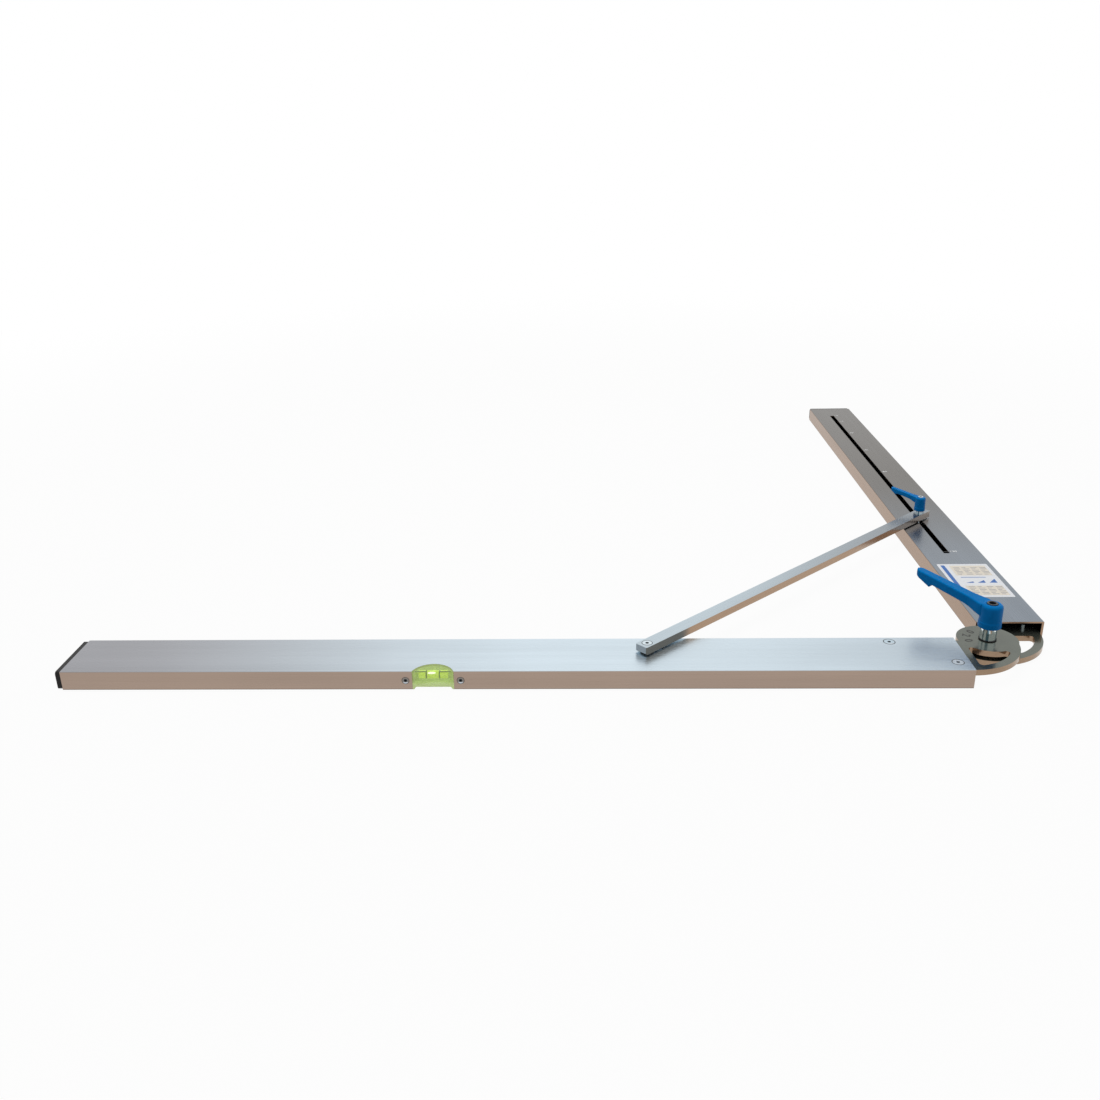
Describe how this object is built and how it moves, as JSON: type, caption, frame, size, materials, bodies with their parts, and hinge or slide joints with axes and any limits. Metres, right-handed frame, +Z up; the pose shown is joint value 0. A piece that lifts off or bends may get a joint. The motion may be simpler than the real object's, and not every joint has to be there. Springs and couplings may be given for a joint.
{
  "type": "folding construction square",
  "caption": "Folding construction square with flat tube arms, a plate hinge, a sliding strut, clamping levers and a level vial.",
  "frame": {"origin": "middle of the square footprint on the ground plane, under the object", "axes": "+X along the level arm towards the hinge corner, +Y along the slotted arm away from the corner, +Z up out of the face that carries the levers"},
  "size_m": [1, 1, 0.0703],
  "materials": {
    "aluminium_profile": "satin anodised",
    "hinge_zinc": "polished plate",
    "bare_steel": "turned and plated",
    "black_plastic": "satin",
    "white_plastic": "satin",
    "black_steel": "black oxide",
    "lever_blue": "smooth powder coat",
    "vial_clear": "polished",
    "vial_fluid": "clear liquid"
  },
  "bodies": {
    "hinge_core": {"hinge_bolt": "bare_steel", "hinge_spacer": "black_plastic", "hinge_top_washer": "black_plastic"},
    "level_arm": {"level_arm_profile": "aluminium_profile", "level_arm_end_cap": "black_plastic", "upper_hinge_plate": "hinge_zinc", "upper_plate_screws": "bare_steel", "vial_holder": "white_plastic", "vial_block": "vial_clear", "vial_liquid": "vial_fluid", "vial_filler_plug": "vial_clear", "vial_screws": "bare_steel"},
    "slotted_arm": {"slotted_arm_profile": "aluminium_profile", "slotted_arm_end_cap": "black_plastic", "lower_hinge_plate": "hinge_zinc", "lower_plate_screws": "bare_steel"},
    "strut_ring": {"strut_pivot_washer": "black_plastic", "strut_anchor_bush": "bare_steel", "strut_pivot_screw": "bare_steel"},
    "strut": {"strut_bar": "aluminium_profile", "clamp_stud": "bare_steel", "clamp_washer": "bare_steel"},
    "slide_pad": {"glide_pad": "black_plastic"},
    "slide": {"slide_nut": "bare_steel"},
    "main_lever": {"main_lever_bush": "bare_steel", "main_lever_screw": "black_steel", "main_lever_spring": "bare_steel"},
    "main_handle": {"main_lever_handle": "lever_blue"},
    "small_lever": {"small_lever_bush": "bare_steel", "small_lever_screw": "bare_steel", "small_lever_spring": "bare_steel"},
    "small_handle": {"small_lever_handle": "lever_blue"}
  },
  "joints": [
    {"name": "fold_shut", "type": "hinge", "parent": "hinge_core", "child": "slotted_arm", "pos_m": [0.4297, -0.4297, 0.01], "axis": [0, 0, 1], "range_deg": [0, 90]},
    {"name": "fold_open", "type": "hinge", "parent": "hinge_core", "child": "level_arm", "pos_m": [0.4297, -0.4297, 0.01], "axis": [0, 0, 1], "range_deg": [0, 30]},
    {"name": "strut_fold_shut", "type": "hinge", "parent": "level_arm", "child": "strut_ring", "pos_m": [0.084, -0.459, 0.025], "axis": [0, 0, 1], "range_deg": [0, 128.67]},
    {"name": "strut_fold_open", "type": "hinge", "parent": "strut_ring", "child": "strut", "pos_m": [0.084, -0.459, 0.025], "axis": [0, 0, 1], "range_deg": [-21.32, 0]},
    {"name": "slide_fold_shut", "type": "slide", "parent": "slotted_arm", "child": "slide_pad", "axis": [0, 1, 0], "range_m": [0, 0.52709]},
    {"name": "slide_fold_open", "type": "slide", "parent": "slide_pad", "child": "slide", "axis": [0, 1, 0], "range_m": [-0.11658, 0]},
    {"name": "main_lever_turn", "type": "hinge", "parent": "hinge_core", "child": "main_lever", "pos_m": [0.4297, -0.4297, 0.04], "axis": [0, 0, 1], "range_deg": [0, 180]},
    {"name": "main_handle_lift", "type": "slide", "parent": "main_lever", "child": "main_handle", "axis": [0, 0, 1], "range_m": [0, 0.004], "stiffness_N_per_m": 1500, "springref_m": -0.002, "deforming": ["main_lever_spring"]},
    {"name": "small_lever_turn", "type": "hinge", "parent": "strut", "child": "small_lever", "pos_m": [0.459, -0.084, 0.04], "axis": [0, 0, 1], "range_deg": [0, 180]},
    {"name": "small_handle_lift", "type": "slide", "parent": "small_lever", "child": "small_handle", "axis": [0, 0, 1], "range_m": [0, 0.0025], "stiffness_N_per_m": 800, "springref_m": -0.002, "deforming": ["small_lever_spring"]}
  ],
  "couplings": [
    {"joint": "strut_fold_shut", "follows": "fold_shut", "ratio": 1.4295},
    {"joint": "strut_fold_open", "follows": "fold_open", "ratio": -0.71032},
    {"joint": "slide_fold_shut", "follows": "fold_shut", "m_per_rad": 0.33555},
    {"joint": "slide_fold_open", "follows": "fold_open", "m_per_rad": -0.22263}
  ]
}
